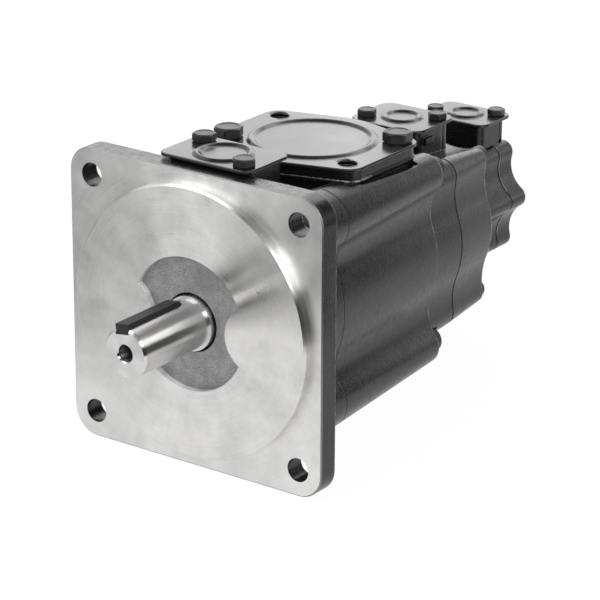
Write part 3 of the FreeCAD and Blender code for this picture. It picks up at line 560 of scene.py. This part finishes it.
# The port covers
def hull_points(circles):
    """The outline round (x, y, radius) circles that are given anticlockwise, as points."""
    step = 3.0
    tangents = []
    for index, (x, y, radius) in enumerate(circles):
        next_x, next_y, next_radius = circles[(index + 1) % len(circles)]
        gap = math.hypot(next_x - x, next_y - y)
        along = ((next_x - x) / gap, (next_y - y) / gap)
        lean = (radius - next_radius) / gap
        side = math.sqrt(1 - lean * lean)
        normal = (lean * along[0] + side * along[1], lean * along[1] - side * along[0])
        tangents.append(((x + radius * normal[0], y + radius * normal[1]),
                         (next_x + next_radius * normal[0], next_y + next_radius * normal[1])))
    points = []
    for index, (x, y, radius) in enumerate(circles):
        start, end = tangents[index - 1][1], tangents[index][0]
        first = math.atan2(start[1] - y, start[0] - x)
        sweep = (math.atan2(end[1] - y, end[0] - x) - first) % (2 * math.pi)
        steps = max(2, int(sweep * radius / (0.5 * step)) + 4)
        for k in range(steps + 1):
            angle = first + sweep * k / steps
            points.append((x + radius * math.cos(angle), y + radius * math.sin(angle)))
        finish = tangents[index][1]
        steps = max(1, int(math.dist(end, finish) / step))
        for k in range(1, steps):
            points.append((end[0] + (finish[0] - end[0]) * k / steps,
                           end[1] + (finish[1] - end[1]) * k / steps))
    return points


def corner_circles(half_x, half_y, radius, centre_y):
    """The corner circles of a rectangle."""
    x, y = half_x - radius, half_y - radius
    return [(x, centre_y - y, radius), (x, centre_y + y, radius),
            (-x, centre_y + y, radius), (-x, centre_y - y, radius)]


def inward(points, inset):
    """An outline moved in by inset."""
    moved = []
    for index, point in enumerate(points):
        before, after = points[index - 1], points[(index + 1) % len(points)]
        way = (after[0] - before[0], after[1] - before[1])
        size = math.hypot(*way) or 1.0
        moved.append((point[0] - inset * way[1] / size, point[1] + inset * way[0] / size))
    return moved


COVER_THICK = 3.0
RIB_RISE = 2.2
BORE_PAST = 5.0


def port_of(cover):
    """The middle of a port along Y and the height of its face, where its cover lies."""
    low, high = box_mm(cover)
    return (low.y + high.y) / 2, low.z


def cover_piece(node, circles, rib, holes=()):
    """A closing plate with softened edges and a rounded raised rib, rib as (radius, rise) pairs."""
    thick = COVER_THICK
    centre_y, top = port_of(node)
    outline = hull_points(circles)
    edge = [(0.7, 0.0), (0.15, 0.15), (0.0, 0.6), (0.0, thick - 1.0), (0.12, thick - 0.5),
            (0.45, thick - 0.13), (1.0, thick)]
    loops = [[(x, y, top + rise) for x, y in inward(outline, inset)] for inset, rise in edge]
    for radius, rise in rib:
        ring = []
        for x, y in outline:
            size = math.hypot(x, y - centre_y)
            ring.append((radius * x / size, centre_y + radius * (y - centre_y) / size,
                         top + thick + rise))
        loops.append(ring)
    piece = loops_to_mesh(node + "_plate", loops, cover_paint, sharp=50.0)
    for x, y, radius in holes:
        bore(piece, x, y, radius, top - BORE_PAST, top + thick + BORE_PAST)
    even_shading(piece)
    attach(piece, "pump_body")
    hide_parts(node)


def bore(piece, x, y, radius, low, high):
    """Cuts an upright round hole."""
    points = 48
    angles = [2 * math.pi * k / points for k in range(points)]
    circle = [(x + radius * math.cos(angle), y + radius * math.sin(angle)) for angle in angles]
    ends = [[(a, b, z) for a, b in circle] for z in (low, high)]
    cutter = loops_to_mesh("cutter", ends, cover_paint)
    modifier = piece.modifiers.new("hole", "BOOLEAN")
    modifier.operation = "DIFFERENCE"
    modifier.solver = "EXACT"
    modifier.object = cutter
    bpy.context.view_layer.objects.active = piece
    bpy.ops.object.modifier_apply(modifier=modifier.name)
    bpy.data.objects.remove(cutter)


def round_rib(outer, inner):
    """A pressed round rib with soft flanks, and the flat plate inside it."""
    flank, steps = 2.2, 18
    start, width = outer + flank, outer - inner + 2 * flank
    profile = [(start + 0.6, 0.0)]
    for k in range(steps + 1):
        profile.append((start - width * k / steps, RIB_RISE * math.sin(math.pi * k / steps) ** 1.6))
    return profile + [(inner - flank - 0.6, 0.0), (inner * 0.55, 0.0), (inner * 0.15, 0.0)]


def square_cover(node, corner, rib_outer, rib_inner):
    """A cover with four equal corners, as large as its node."""
    low, high = box_mm(node)
    circles = corner_circles(high.x, (high.y - low.y) / 2, corner, port_of(node)[0])
    cover_piece(node, circles, round_rib(rib_outer, rib_inner))


# Half the bolt patterns of the ports, along X and Y
FRONT_PATTERN = (34.925, 17.855)
INLET_PATTERN = (65.09, 38.885)
MIDDLE_PATTERN = (29.36, 15.09)
REAR_PATTERN = (26.185, 13.095)

INLET_CORNER_R = 17.0
INLET_MIDDLE_R = 72.0
INLET_HOLE_R = 9.0


def inlet_outline():
    """The circles that the inlet cover's outline goes round: four corners and a large middle."""
    centre_y = port_of("inlet_cover")[0]
    x, y = INLET_PATTERN
    corner, middle = INLET_CORNER_R, (0.0, centre_y, INLET_MIDDLE_R)
    return [
        (x, centre_y - y, corner), (x, centre_y + y, corner), middle,
        (-x, centre_y + y, corner), (-x, centre_y - y, corner), middle,
    ]


def inlet_holes():
    """The two bolt holes of the inlet cover that are open."""
    centre_y = port_of("inlet_cover")[0]
    x, y = INLET_PATTERN
    return (-x, centre_y + y, INLET_HOLE_R), (x, centre_y - y, INLET_HOLE_R)


square_cover("front_outlet_cover", 9.0, 26.0, 21.0)
cover_piece("inlet_cover", inlet_outline(), round_rib(58.0, 52.0), holes=inlet_holes())
square_cover("middle_outlet_cover", 13.0, 19.0, 14.0)
square_cover("rear_outlet_cover", 10.0, 17.0, 12.5)


def slab_bead():
    """The rough parting line round the foot of the inlet slab, half round, with its skirts tucked in."""
    height, out, radius = 107.4, 1.4, 1.8
    tuck, skirt = 4.0, 3.0
    outline = hull_points(inlet_outline())
    loops = [[(x, y, height + skirt) for x, y in inward(outline, out + tuck)]]
    for degrees in range(80, -81, -20):
        angle = math.radians(degrees)
        inset = out + radius * (1 - math.cos(angle))
        loops.append([(x, y, height + radius * math.sin(angle)) for x, y in inward(outline, inset)])
    loops.append([(x, y, height - skirt) for x, y in inward(outline, out + tuck)])
    piece = loops_to_mesh("inlet_slab_bead", loops, bead_paint, closed=False, sharp=60.0)
    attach(piece, "pump_body")


slab_bead()


# Bolts and screws
def level(radius_of, height_of, count=72):
    """One loop of a screw head: radius_of gives the radius at an angle, height_of the height there."""
    points = []
    for k in range(count):
        angle = 2 * math.pi * k / count
        radius = radius_of(k, angle)
        points.append((radius * math.cos(angle), radius * math.sin(angle), height_of(radius)))
    return points


def six_sided(flats, angle, turn):
    """The radius of a hexagon at an angle."""
    fold = (angle - turn + math.pi / 6) % (math.pi / 3) - math.pi / 6
    return 0.5 * flats / math.cos(fold)


def hex_head(flats, head, turn):
    """Loops of a hexagon head with a washer face and a chamfered, dished top, base at height 0."""
    washer, crown, blunt = 0.47 * flats, 0.455 * flats, 0.568 * flats
    collar, dish = 0.035 * flats, 0.025 * flats
    slope = 0.5

    def side(k, angle):
        return min(six_sided(flats, angle, turn), blunt)

    return [
        level(lambda k, a: washer, lambda r: 0.0),
        level(lambda k, a: washer, lambda r: collar),
        level(lambda k, a: 0.985 * side(k, a), lambda r: collar),
        level(side, lambda r: collar + 0.02 * flats),
        level(side, lambda r: head - slope * (r - crown)),
        level(lambda k, a: crown, lambda r: head),
        level(lambda k, a: 0.9 * crown, lambda r: head - 0.01),
        level(lambda k, a: 0.78 * crown, lambda r: head - dish),
        level(lambda k, a: 0.1 * crown, lambda r: head - dish),
    ]


def socket_head(radius, head, key, turn):
    """Loops of a round knurled head with a hexagon socket, key its width, base at height 0."""
    bottom = 0.5 * head

    def knurl(k, angle):
        return radius - (0.0 if k % 2 else 0.02 * radius)

    def socket(k, angle):
        return six_sided(key, angle, turn)

    return [
        level(lambda k, a: 0.94 * radius, lambda r: 0.0),
        level(knurl, lambda r: 0.06 * radius),
        level(knurl, lambda r: head - 0.14 * radius),
        level(lambda k, a: 0.95 * radius, lambda r: head - 0.08 * radius),
        level(lambda k, a: 0.87 * radius, lambda r: head),
        level(lambda k, a: 1.06 * socket(k, a), lambda r: head),
        level(socket, lambda r: head - 0.04 * key),
        level(socket, lambda r: bottom),
        level(lambda k, a: 0.05 * key, lambda r: bottom),
    ]


def bolts_piece(node, seats, head_of, shank_r, shank_length, upright=True):
    """Bolts at their (x, y, z, turn) seats, pointing up or to the rear."""
    made = []
    for index, (x, y, z, turn) in enumerate(seats):
        shank = [level(lambda k, a: shank_r, lambda r: 0.5 - shank_length),
                 level(lambda k, a: shank_r, lambda r: 0.0)]
        loops = shank + head_of(math.radians(turn))
        if upright:
            loops = [[(x + a, y + b, z + c) for a, b, c in loop] for loop in loops]
        else:
            loops = [[(x - a, y + c, z + b) for a, b, c in loop] for loop in loops]
        made.append(loops_to_mesh("bolt_%d" % index, loops, bolt_paint, sharp=20.0))
    piece = joined(node + "_heads", made)
    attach(piece, "pump_body")
    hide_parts(node)


COVER_BOLT_LENGTH = 24.0
END_SCREW_HEAD = 8.0

# Where the body screws are, as x and z from the shaft's axis
MAIN_LOBE = (72.5, 83.0)
MIDDLE_LOBE = (56.5, 66.5)
END_LOBE = (28.0, 43.0)
END_SIDE_LOBE_X = 44.0


def pair(cover, pattern, sign, turns):
    """Two opposite corners of a port's bolt pattern, as seats on its cover, turns in degrees."""
    centre_y, top = port_of(cover)
    half_x, half_y = pattern
    return [(-half_x, centre_y + sign * half_y, top + COVER_THICK, turns[0]),
            (half_x, centre_y - sign * half_y, top + COVER_THICK, turns[1])]


def four(lobe, y, turns):
    """Seats in four lobes round the shaft, turns in degrees."""
    x, z = lobe
    return [(x, y, z, turns[0]), (-x, y, z, turns[1]), (-x, y, -z, turns[2]), (x, y, -z, turns[3])]


def six():
    """Seats of the end cap's screws in its six lobes, each turned by another angle."""
    x, z = END_LOBE
    back = box_mm("end_cap_screws")[1].y - END_SCREW_HEAD
    places = [(END_SIDE_LOBE_X, 0.0), (x, z), (-x, z), (-END_SIDE_LOBE_X, 0.0), (-x, -z), (x, -z)]
    return [(a, back, b, 7 * a + b) for a, b in places]


# Cover bolts: seats, width across flats, head height and shank radius
for node, seats, flats, head, shank_r in (
    ("front_outlet_cover_bolts", pair("front_outlet_cover", FRONT_PATTERN, 1, (12, 38)), 19.0, 7.5, 6.0),
    ("inlet_cover_bolts", pair("inlet_cover", INLET_PATTERN, -1, (22, 5)), 24.0, 10.0, 8.0),
    ("middle_outlet_cover_bolts", pair("middle_outlet_cover", MIDDLE_PATTERN, -1, (18, 44)), 16.0, 6.4, 5.0),
    ("rear_outlet_cover_bolts", pair("rear_outlet_cover", REAR_PATTERN, -1, (30, 9)), 15.0, 6.4, 5.0),
):
    bolts_piece(node, seats, lambda turn, flats=flats, head=head: hex_head(flats, head, turn),
                shank_r, COVER_BOLT_LENGTH)

# Body screws: seats, head radius, head height, socket across flats, shank radius and length
for node, seats, radius, head, key, shank_r, length in (
    ("housing_bolts", four(MAIN_LOBE, INLET_BACK, (10, 33, 50, 21)), 12.0, 16.0, 14.0, 8.0, 202.0),
    ("middle_housing_bolts", four(MIDDLE_LOBE, MIDDLE_BACK, (28, 4, 40, 15)),
     9.0, 12.0, 10.0, 6.0, 125.0),
    ("end_cap_screws", six(), 6.5, END_SCREW_HEAD, 6.0, 4.0, 108.5),
):
    bolts_piece(node, seats,
                lambda turn, radius=radius, head=head, key=key: socket_head(radius, head, key, turn),
                shank_r, length, upright=False)


def centre_thread():
    """The screw thread inside the shaft's centre hole."""
    pitch, length, radius, depth = 2.0, 30.0, 7.5, 0.75
    sink = 2.2
    points, spacing = 40, 0.25
    loops = []
    for step in range(int(length / spacing) + 1):
        along = spacing * step
        loop = []
        for k in range(points):
            angle = 2 * math.pi * k / points
            phase = (along / pitch + angle / (2 * math.pi)) % 1.0
            crest = radius - depth * (1 - abs(2 * phase - 1))
            loop.append((crest * math.cos(angle), SHAFT_FRONT + sink + along, crest * math.sin(angle)))
        loops.append(loop)
    piece = loops_to_mesh("centre_hole_thread", loops, thread_metal, closed=False, sharp=60.0)
    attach(piece, "shaft")


centre_thread()

# Stage: a pale floor, a white background and soft lamps
FLOOR_GAP = 0.0005
FLOOR_REACH = 6.0
MIDDLE = Vector((0, 0.15, 0))


def mirrored(ray):
    """1 for a ray that comes from a reflection or through glass."""
    return maths(ray.id_data, "MAXIMUM", ray.outputs["Is Glossy Ray"], ray.outputs["Is Transmission Ray"])


def white_world():
    """A world that is white to the camera and in reflections, and dimmer as light."""
    world = bpy.data.worlds.new("studio")
    bpy.context.scene.world = world
    world.use_nodes = True
    tree = world.node_tree
    tree.nodes.clear()
    ray = add(tree, "ShaderNodeLightPath")
    seen = maths(tree, "MAXIMUM", ray.outputs["Is Camera Ray"], mirrored(ray))
    background = add(tree, "ShaderNodeBackground", inputs={
        "Color": (1.0, 1.0, 1.0, 1.0), "Strength": blend_value(tree, seen, 0.4, 1.0),
    })
    output = add(tree, "ShaderNodeOutputWorld")
    tree.links.new(background.outputs[0], output.inputs["Surface"])


def pale_floor():
    """A floor just under the pump, near white to the camera, grey in reflections, with soft shadows."""
    material, tree = node_tree("pale_floor")
    ray = add(tree, "ShaderNodeLightPath")
    seen = maths(tree, "MAXIMUM", maths(tree, "MULTIPLY", ray.outputs["Is Camera Ray"], 0.93),
                 maths(tree, "MULTIPLY", mirrored(ray), 0.75))
    matt = add(tree, "ShaderNodeBsdfDiffuse", inputs={"Color": (0.85, 0.85, 0.85, 1.0)})
    glow = add(tree, "ShaderNodeEmission", inputs={"Color": (1.0, 1.0, 1.0, 1.0), "Strength": 1.04})
    mixed = add(tree, "ShaderNodeMixShader", inputs={0: seen, 1: matt.outputs[0], 2: glow.outputs[0]})
    output = add(tree, "ShaderNodeOutputMaterial")
    tree.links.new(mixed.outputs[0], output.inputs["Surface"])
    reach = FLOOR_REACH
    corners = [(-reach, -reach, 0), (reach, -reach, 0), (reach, reach, 0), (-reach, reach, 0)]
    floor = mesh_object("floor", corners, [(0, 1, 2, 3)], material)
    floor.location.z = cad_box[0][2] - FLOOR_GAP


white_world()
pale_floor()


def lamp(name, location, aim, size, power):
    """A lamp that the camera doesn't see, power in watts."""
    data = bpy.data.lights.new(name, "AREA")
    data.shape = "RECTANGLE"
    data.size, data.size_y = size
    data.energy = power
    obj = link(bpy.data.objects.new(name, data))
    obj.location = location
    obj.rotation_euler = (Vector(aim) - Vector(location)).to_track_quat("-Z", "Y").to_euler()
    obj.visible_camera = False


def card(name, direction, distance, size, shade, centre=MIDDLE, roll=0.0):
    """A card beside the set, seen only in reflections, with roll in degrees.

    Shade is its brightness, 0 for black and 1 for white.
    """
    half_x, half_y = size[0] / 2, size[1] / 2
    material, tree = node_tree(name)
    glow = add(tree, "ShaderNodeEmission", inputs={"Color": (1.0, 1.0, 1.0, 1.0), "Strength": shade})
    output = add(tree, "ShaderNodeOutputMaterial")
    tree.links.new(glow.outputs[0], output.inputs["Surface"])
    turn = math.radians(roll)
    corners = [(x * math.cos(turn) - y * math.sin(turn), x * math.sin(turn) + y * math.cos(turn), 0)
               for x, y in ((-half_x, -half_y), (half_x, -half_y), (half_x, half_y), (-half_x, half_y))]
    obj = mesh_object(name, corners, [(0, 1, 2, 3)], material)
    way = Vector(direction).normalized()
    obj.location = way * distance + centre
    obj.rotation_euler = (way * -1).to_track_quat("Z", "Y").to_euler()
    obj.visible_camera = False
    obj.visible_diffuse = False
    obj.visible_shadow = False


def softbox(name, direction, distance, size, radiance):
    """A wide lamp whose face has the given brightness, where 1 is white."""
    way = Vector(direction).normalized()
    lamp(name, MIDDLE + way * distance, MIDDLE, size, radiance * math.pi * size[0] * size[1])


def over_shaft(angle, distance, along):
    """A place level with a point of the shaft's axis, angle in degrees above the right-hand side."""
    turn = math.radians(angle)
    return Vector((distance * math.cos(turn), along, distance * math.sin(turn)))


def strip(name, angle, distance, along, size, radiance):
    """A strip lamp that runs beside the shaft, size as (length, width)."""
    lamp(name, over_shaft(angle, distance, along), (0, along, 0), size,
         radiance * math.pi * size[0] * size[1])


# Lamps behind the pump, which the covers and the tops of the castings mirror
softbox("back_left_softbox", (-0.68, 0.73, 0.39), 2.5, (0.81, 1.1), 1.4)
softbox("back_softbox", (-0.34, 0.94, 0.39), 2.5, (1.2, 1.1), 1.35)
softbox("back_high_softbox", (-0.10, 0.70, 0.80), 2.4, (1.4, 0.7), 2.4)

# Strip lamps that draw the bright lines on the shaft, the pilot and the turned face
strip("front_right_strip", 38, 1.1, -0.9, (1.3, 0.54), 3.2)
strip("front_left_strip", 114, 1.33, -0.9, (1.4, 1.18), 2.0)

# A bright card and two black ones that shade the castings' flank
card("card_back_right", (0.55, 0.78, 0.25), 2.4, (1.6, 1.2), 1.7)
card("card_right", (1.0, 0.0, 0.25), 0.5, (0.5, 0.9), 0.02, Vector((0.0, 0.66, 0.10)))
card("card_right_high", (1.0, 0.0, 0.5), 0.5, (0.85, 0.75), 0.02, Vector((0.0, 0.74, 0.47)))

# Dark cards between the lamps, for the turned face, the pilot and the shaft
card("card_overhead", (0.05, -0.15, 1.0), 2.2, (2.4, 2.4), 0.12)
card("card_over_shaft", (0.27, 0.0, 0.96), 1.25, (0.66, 2.4), 0.02, Vector((0.0, -1.0, 0.0)))
card("card_front", (0.0, -1.0, 0.0), 0.35, (0.30, 0.13), 0.02, Vector((-0.005, 0.0, 0.016)), roll=-40)
card("card_front_right", (0.63, -0.77, 0.0), 0.74, (0.6, 0.42), 0.03, Vector((0.0, 0.0, 0.07)))
card("card_low_right", (1.0, 0.0, 0.0), 0.21, (0.6, 0.105), 0.02, Vector((0.0, -0.20, 0.0275)))

# Grey cards that the face mirrors
card("card_front_left", (-0.586, -0.81, 0.0), 0.32, (0.9, 0.2), 0.45, Vector((-0.385, 0.278, -0.04)))
card("card_front_far", (-0.586, -0.81, 0.0), 0.675, (0.7, 0.14), 0.3, Vector((0.0, 0.0, -0.07)))
card("card_left", (-0.95, -0.30, 0.12), 2.3, (1.4, 1.1), 0.5)
